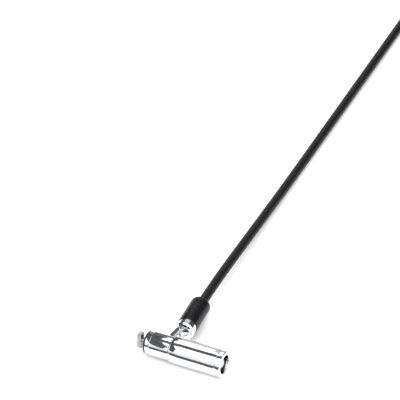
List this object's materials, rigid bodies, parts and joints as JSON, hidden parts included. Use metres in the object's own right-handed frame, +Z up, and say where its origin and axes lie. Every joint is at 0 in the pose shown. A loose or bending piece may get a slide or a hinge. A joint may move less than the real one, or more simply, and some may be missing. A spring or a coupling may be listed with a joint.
{
  "type": "laptop cable lock",
  "caption": "Barrel key lock with a T-bar tip for a device's security slot, on a swivelling and pivoting fitting with a coated steel cable and anchor loop.",
  "frame": {"origin": "centre of the face that seats on the device, on the barrel's axis", "axes": "+X along the barrel from the device to the key end, +Y towards the cable, +Z up from the surface that the lock lies on, which is one barrel radius below the origin"},
  "size_m": [0.0633, 0.3629, 0.0164],
  "materials": {
    "polished_chrome": "polished chrome plate",
    "satin_steel": "turned, satin",
    "hard_steel": "hardened steel",
    "spring_steel": "drawn wire",
    "brass": "turned brass",
    "black_rubber": "matt",
    "boot_plastic": "moulded, semi-gloss",
    "cable_jacket": "extruded, semi-gloss",
    "tie_fabric": "hook-and-loop tape"
  },
  "bodies": {
    "cable": {"cable_run": "cable_jacket", "cable_coil": "cable_jacket", "cable_tail": "cable_jacket", "loop_ferrule": "satin_steel", "coil_tie": "tie_fabric", "cable_boot": "boot_plastic", "cable_socket": "polished_chrome", "crimp_sleeve": "satin_steel", "cable_end": "cable_jacket"},
    "collar": {"swivel_collar": "polished_chrome", "pivot_rivet": "polished_chrome", "pivot_washers": "satin_steel"},
    "barrel": {"barrel_shell": "polished_chrome", "nose_sleeve": "polished_chrome", "face_pad": "black_rubber", "anti_rotation_pins": "hard_steel", "swivel_washer": "satin_steel", "nose_pin": "hard_steel", "pin_housing": "brass", "housing_pin": "hard_steel", "pin_springs": "spring_steel", "front_bezel": "polished_chrome"},
    "plug": {"lock_plug": "satin_steel", "key_post": "satin_steel", "t_bar_spindle": "hard_steel", "spindle_pin": "hard_steel"},
    "driver_pins": {"driver_pins": "hard_steel"},
    "key_pins": {"key_pins": "brass"}
  },
  "joints": [
    {"name": "cable_pivot", "type": "hinge", "parent": "cable", "child": "collar", "pos_m": [0.0094, 0.009, 0], "axis": [0, 0, 1], "range_deg": [-60, 77]},
    {"name": "collar_swivel", "type": "hinge", "parent": "collar", "child": "barrel", "pos_m": [0, 0, 0], "axis": [1, 0, 0], "continuous": true},
    {"name": "key_turn", "type": "hinge", "parent": "barrel", "child": "plug", "pos_m": [0.022, 0, 0], "axis": [1, 0, 0], "range_deg": [0, 90]},
    {"name": "driver_pin_travel", "type": "slide", "parent": "barrel", "child": "driver_pins", "axis": [1, 0, 0], "range_m": [0, 0.001], "stiffness_N_per_m": 20},
    {"name": "key_pin_travel", "type": "slide", "parent": "plug", "child": "key_pins", "axis": [1, 0, 0], "range_m": [0, 0.001]}
  ],
  "couplings": [
    {"joint": "key_pin_travel", "follows": "driver_pin_travel", "ratio": 1}
  ]
}
